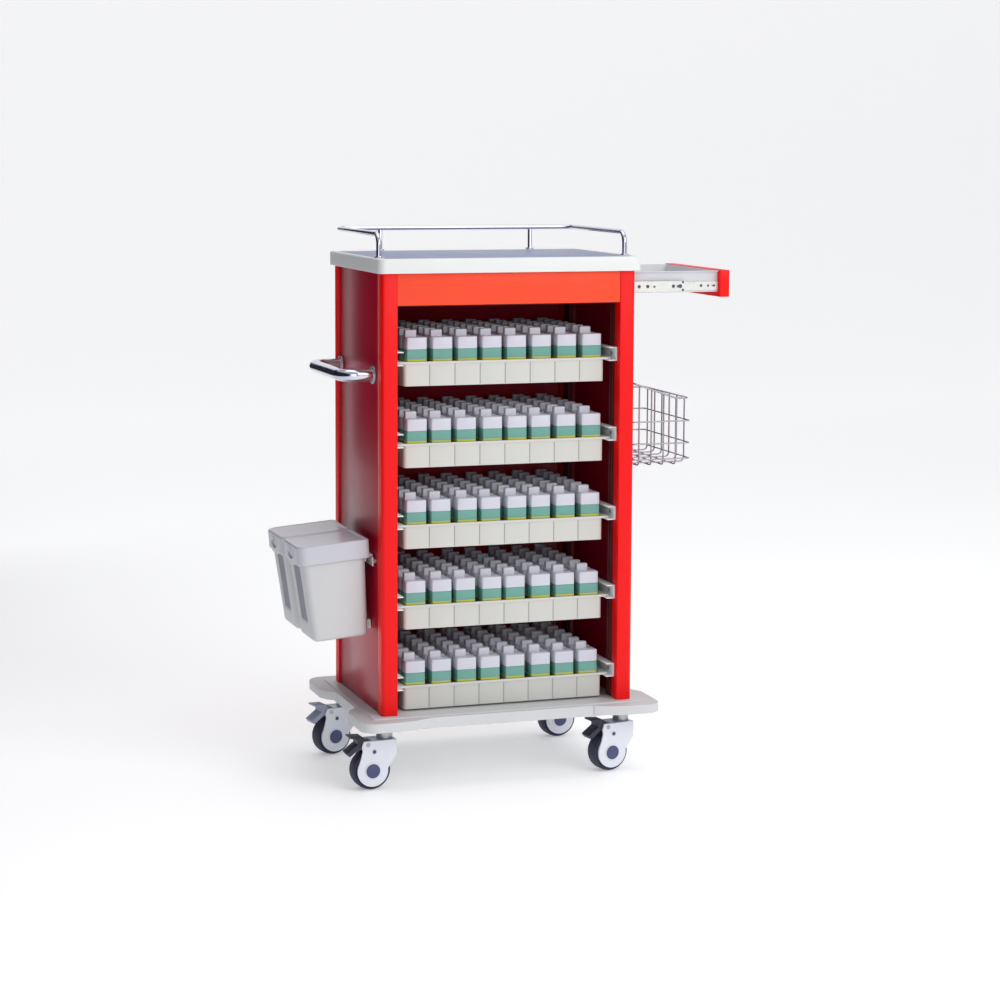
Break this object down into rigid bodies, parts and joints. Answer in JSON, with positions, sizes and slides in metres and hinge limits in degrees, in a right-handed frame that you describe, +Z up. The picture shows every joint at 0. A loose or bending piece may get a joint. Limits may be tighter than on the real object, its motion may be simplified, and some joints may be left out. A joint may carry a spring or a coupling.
{
  "type": "medication cart",
  "caption": "Medication cart: red steel cabinet with sliding trays of lidded boxes, side drawer, hanging bins, wire basket, push handle and guard rail on swivel casters.",
  "frame": {"origin": "floor level, under the middle of the whole cart's outline as it stands, side drawer pulled out and bins hanging; the cabinet's own centre is at x = -0.026, y = 0", "axes": "+X to the cart's right, the side with the drawer and basket; +Y to its back; +Z up"},
  "size_m": [0.9177, 0.4598, 1.116],
  "materials": {
    "post_paint": "gloss",
    "panel_paint": "gloss",
    "header_paint": "gloss",
    "inner_paint": "satin",
    "top_plastic": "satin",
    "base_plastic": "satin",
    "frame_steel": "satin",
    "zinc": "satin",
    "rail_chrome": "polished",
    "runner_plastic": "satin",
    "slide_steel": "satin",
    "drawer_grey": "satin",
    "bin_plastic": "satin",
    "wire_chrome": "polished",
    "tray_plastic": "satin",
    "box_plastic": "satin",
    "caster_white": "satin",
    "cap_navy": "satin",
    "rim_plastic": "satin",
    "tyre_rubber": "matt",
    "pedal_plastic": "satin"
  },
  "bodies": {
    "cart": {"base_moulding": "base_plastic", "base_frame": "frame_steel", "caster_mounts": "zinc", "front_posts": "post_paint", "rear_posts": "post_paint", "post_flanks": "inner_paint", "left_panel": "panel_paint", "right_panel": "panel_paint", "back_panel": "panel_paint", "front_header": "header_paint", "ceiling_sheet": "inner_paint", "top_board": "top_plastic", "guard_rail": "rail_chrome", "rail_stanchions": "rail_chrome", "push_handle": "rail_chrome", "handle_flanges": "zinc", "tray_runners": "runner_plastic", "bin_rail": "slide_steel", "basket_brackets": "slide_steel", "slide_outers": "slide_steel", "fasteners": "zinc"},
    "middle_slides": {"slide_middles": "slide_steel"},
    "side_drawer": {"slide_inners": "slide_steel", "drawer_box": "drawer_grey", "drawer_front": "header_paint"},
    "front_waste_bin": {"front_bin": "bin_plastic"},
    "front_waste_lid": {"front_bin_lid": "bin_plastic"},
    "rear_waste_bin": {"rear_bin": "bin_plastic"},
    "rear_waste_lid": {"rear_bin_lid": "bin_plastic"},
    "basket": {"wire_basket": "wire_chrome"},
    "tray_1_load": {"tray_1": "tray_plastic", "tray_1_boxes": "box_plastic"},
    "tray_2_load": {"tray_2": "tray_plastic", "tray_2_boxes": "box_plastic"},
    "tray_3_load": {"tray_3": "tray_plastic", "tray_3_boxes": "box_plastic"},
    "tray_4_load": {"tray_4": "tray_plastic", "tray_4_boxes": "box_plastic"},
    "tray_5_load": {"tray_5": "tray_plastic", "tray_5_boxes": "box_plastic"},
    "front_left_swivel": {"front_left_fork": "caster_white", "front_left_pins": "cap_navy"},
    "front_left_wheel": {"front_left_rim": "rim_plastic", "front_left_tyre": "tyre_rubber"},
    "front_left_brake": {"front_left_pedal": "pedal_plastic"},
    "front_right_swivel": {"front_right_fork": "caster_white", "front_right_pins": "cap_navy"},
    "front_right_wheel": {"front_right_rim": "rim_plastic", "front_right_tyre": "tyre_rubber"},
    "front_right_brake": {"front_right_pedal": "pedal_plastic"},
    "rear_left_swivel": {"rear_left_fork": "caster_white", "rear_left_pins": "cap_navy"},
    "rear_left_wheel": {"rear_left_rim": "rim_plastic", "rear_left_tyre": "tyre_rubber"},
    "rear_left_brake": {"rear_left_pedal": "pedal_plastic"},
    "rear_right_swivel": {"rear_right_fork": "caster_white", "rear_right_pins": "cap_navy"},
    "rear_right_wheel": {"rear_right_rim": "rim_plastic", "rear_right_tyre": "tyre_rubber"},
    "rear_right_brake": {"rear_right_pedal": "pedal_plastic"}
  },
  "joints": [
    {"name": "side_drawer_slide", "type": "slide", "parent": "cart", "child": "side_drawer", "axis": [1, 0, 0], "range_m": [-0.2225, 0.1275]},
    {"name": "middle_slide", "type": "slide", "parent": "cart", "child": "middle_slides", "axis": [1, 0, 0], "range_m": [-0.1485, 0.0852]},
    {"name": "front_bin_lift", "type": "slide", "parent": "cart", "child": "front_waste_bin", "axis": [0, 0, 1], "range_m": [0, 0.06]},
    {"name": "front_lid_hinge", "type": "hinge", "parent": "front_waste_bin", "child": "front_waste_lid", "pos_m": [-0.31541, -0.069, 0.49419], "axis": [0, 1, 0], "range_deg": [0, 95]},
    {"name": "rear_bin_lift", "type": "slide", "parent": "cart", "child": "rear_waste_bin", "axis": [0, 0, 1], "range_m": [0, 0.06]},
    {"name": "rear_lid_hinge", "type": "hinge", "parent": "rear_waste_bin", "child": "rear_waste_lid", "pos_m": [-0.31541, 0.069, 0.49419], "axis": [0, 1, 0], "range_deg": [0, 95]},
    {"name": "basket_lift", "type": "slide", "parent": "cart", "child": "basket", "axis": [0, 0, 1], "range_m": [0, 0.05]},
    {"name": "tray_1_slide", "type": "slide", "parent": "cart", "child": "tray_1_load", "axis": [0, -1, 0], "range_m": [0, 0.28]},
    {"name": "tray_2_slide", "type": "slide", "parent": "cart", "child": "tray_2_load", "axis": [0, -1, 0], "range_m": [0, 0.28]},
    {"name": "tray_3_slide", "type": "slide", "parent": "cart", "child": "tray_3_load", "axis": [0, -1, 0], "range_m": [0, 0.28]},
    {"name": "tray_4_slide", "type": "slide", "parent": "cart", "child": "tray_4_load", "axis": [0, -1, 0], "range_m": [0, 0.28]},
    {"name": "tray_5_slide", "type": "slide", "parent": "cart", "child": "tray_5_load", "axis": [0, -1, 0], "range_m": [0, 0.28]},
    {"name": "front_left_swivel", "type": "hinge", "parent": "cart", "child": "front_left_swivel", "pos_m": [-0.281, -0.153, 0.092], "axis": [0, 0, 1], "continuous": true},
    {"name": "front_left_roll", "type": "hinge", "parent": "front_left_swivel", "child": "front_left_wheel", "pos_m": [-0.31196, -0.15462, 0.04], "axis": [-0.0523, 0.9986, 0], "continuous": true},
    {"name": "front_left_brake", "type": "hinge", "parent": "front_left_swivel", "child": "front_left_brake", "pos_m": [-0.32194, -0.15515, 0.094], "axis": [0.0523, -0.9986, 0], "range_deg": [0, 15]},
    {"name": "front_right_swivel", "type": "hinge", "parent": "cart", "child": "front_right_swivel", "pos_m": [0.229, -0.153, 0.092], "axis": [0, 0, 1], "continuous": true},
    {"name": "front_right_roll", "type": "hinge", "parent": "front_right_swivel", "child": "front_right_wheel", "pos_m": [0.19838, -0.15785, 0.04], "axis": [-0.1564, 0.9877, 0], "continuous": true},
    {"name": "front_right_brake", "type": "hinge", "parent": "front_right_swivel", "child": "front_right_brake", "pos_m": [0.1885, -0.15941, 0.094], "axis": [0.1564, -0.9877, 0], "range_deg": [0, 15]},
    {"name": "rear_left_swivel", "type": "hinge", "parent": "cart", "child": "rear_left_swivel", "pos_m": [-0.281, 0.153, 0.092], "axis": [0, 0, 1], "continuous": true},
    {"name": "rear_left_roll", "type": "hinge", "parent": "rear_left_swivel", "child": "rear_left_wheel", "pos_m": [-0.31132, 0.14655, 0.04], "axis": [-0.2079, 0.9781, 0], "continuous": true},
    {"name": "rear_left_brake", "type": "hinge", "parent": "rear_left_swivel", "child": "rear_left_brake", "pos_m": [-0.3211, 0.14448, 0.094], "axis": [0.2079, -0.9781, 0], "range_deg": [0, 15]},
    {"name": "rear_right_swivel", "type": "hinge", "parent": "cart", "child": "rear_right_swivel", "pos_m": [0.229, 0.153, 0.092], "axis": [0, 0, 1], "continuous": true},
    {"name": "rear_right_roll", "type": "hinge", "parent": "rear_right_swivel", "child": "rear_right_wheel", "pos_m": [0.19812, 0.1503, 0.04], "axis": [-0.0872, 0.9962, 0], "continuous": true},
    {"name": "rear_right_brake", "type": "hinge", "parent": "rear_right_swivel", "child": "rear_right_brake", "pos_m": [0.18816, 0.14943, 0.094], "axis": [0.0872, -0.9962, 0], "range_deg": [0, 15]}
  ],
  "couplings": [
    {"joint": "middle_slide", "follows": "side_drawer_slide", "ratio": 0.667}
  ]
}
